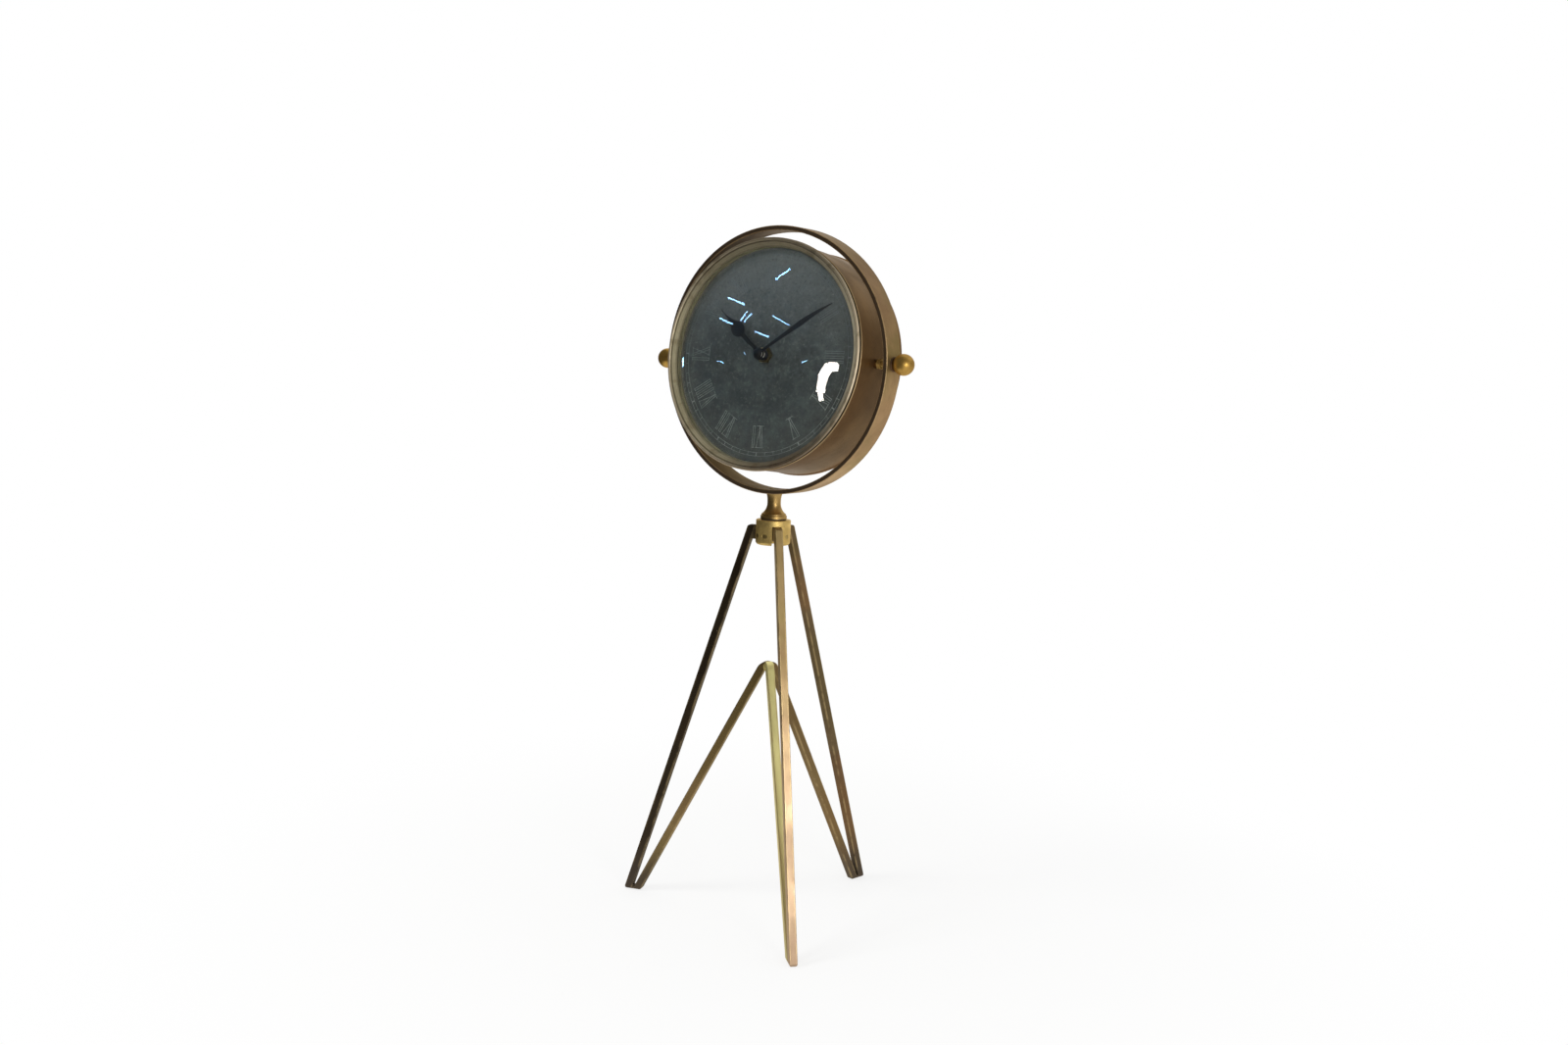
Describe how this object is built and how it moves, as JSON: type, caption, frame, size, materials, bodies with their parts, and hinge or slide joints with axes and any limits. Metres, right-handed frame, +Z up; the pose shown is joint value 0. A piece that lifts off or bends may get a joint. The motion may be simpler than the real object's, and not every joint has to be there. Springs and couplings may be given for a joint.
{
  "type": "table clock on tripod stand",
  "caption": "Round drum clock tilting between side pivots in a flat-band hoop, on a turned neck, a slotted hub and a tripod of sharply bent square-bar legs.",
  "frame": {"origin": "on the floor plane, on the axis of the tripod, neck and hoop, midway between the feet", "axes": "+Z up along the tripod's axis; +X to the dial's right seen from in front, along the drum's pivot axis; the dial faces -Y, leaning back 6 degrees"},
  "size_m": [0.232, 0.1907, 0.526],
  "materials": {
    "hoop_brass": "antique satin, worn darker at the edges",
    "hub_brass": "antique satin, olive tone",
    "leg_brass": "antique satin, mottled",
    "case_brass": "antique satin, dark brown bronze tone",
    "bezel_brass": "brushed, pale bronze tone",
    "ball_brass": "polished, warm",
    "clear_glass": "clear, polished",
    "dial_slate": "matte, faintly mottled dark slate",
    "hand_black": "satin",
    "screw_steel": "plain",
    "dark_washer": "satin",
    "rubber_black": "matte",
    "movement_black": "fine matte",
    "gear_plastic": "plain",
    "battery_sleeve": "satin, plain sleeve"
  },
  "bodies": {
    "base": {"hub": "hub_brass", "leg_front": "leg_brass", "leg_left": "leg_brass", "leg_back": "leg_brass", "leg_pins": "screw_steel"},
    "head": {"hoop": "hoop_brass", "neck": "hub_brass", "hoop_screw": "screw_steel", "swivel_screw": "screw_steel", "swivel_spring_washer": "screw_steel", "neck_washer": "dark_washer"},
    "case": {"case_shell": "case_brass", "bezel": "bezel_brass", "glass": "clear_glass", "sight_ring": "bezel_brass", "dial": "dial_slate", "back_cover": "case_brass", "cover_lugs": "case_brass", "cover_screws": "screw_steel", "pivot_bosses": "case_brass", "pivot_studs": "screw_steel", "lock_nuts": "ball_brass", "spacer_sleeves": "ball_brass", "knob_washers": "dark_washer", "ball_knobs": "ball_brass", "movement_front_housing": "movement_black", "movement_rear_housing": "movement_black", "collar_nut": "ball_brass", "rubber_washer": "rubber_black", "battery": "battery_sleeve", "battery_contacts": "screw_steel"},
    "minute": {"minute_arbor": "ball_brass", "minute_hand": "hand_black", "hand_cap": "hand_black"},
    "hour": {"hour_wheel": "gear_plastic", "hour_hand": "hand_black"},
    "minute_wheel": {"minute_wheel": "gear_plastic"},
    "setting": {"setting_knob": "gear_plastic", "setting_pinion": "gear_plastic"}
  },
  "joints": [
    {"name": "head_swivel", "type": "hinge", "parent": "base", "child": "head", "pos_m": [0, 0, 0.30615], "axis": [0, 0, 1], "continuous": true},
    {"name": "case_tilt", "type": "hinge", "parent": "head", "child": "case", "pos_m": [0, 0, 0.426], "axis": [1, 0, 0], "continuous": true},
    {"name": "minute_turn", "type": "hinge", "parent": "case", "child": "minute", "pos_m": [0, 0.00021, 0.42799], "axis": [0, 0.9945, -0.1045], "continuous": true},
    {"name": "hour_turn", "type": "hinge", "parent": "case", "child": "hour", "pos_m": [0, 0.00021, 0.42799], "axis": [0, 0.9945, -0.1045], "continuous": true},
    {"name": "minute_wheel_turn", "type": "hinge", "parent": "case", "child": "minute_wheel", "pos_m": [-0.01039, -0.00911, 0.435], "axis": [0, 0.9945, -0.1045], "continuous": true},
    {"name": "setting_turn", "type": "hinge", "parent": "case", "child": "setting", "pos_m": [-0.01639, -0.00305, 0.44481], "axis": [0, 0.9945, -0.1045], "continuous": true}
  ],
  "couplings": [
    {"joint": "hour_turn", "follows": "minute_turn", "ratio": 0.083333},
    {"joint": "minute_wheel_turn", "follows": "minute_turn", "ratio": -0.33333},
    {"joint": "setting_turn", "follows": "minute_turn", "ratio": 1}
  ]
}
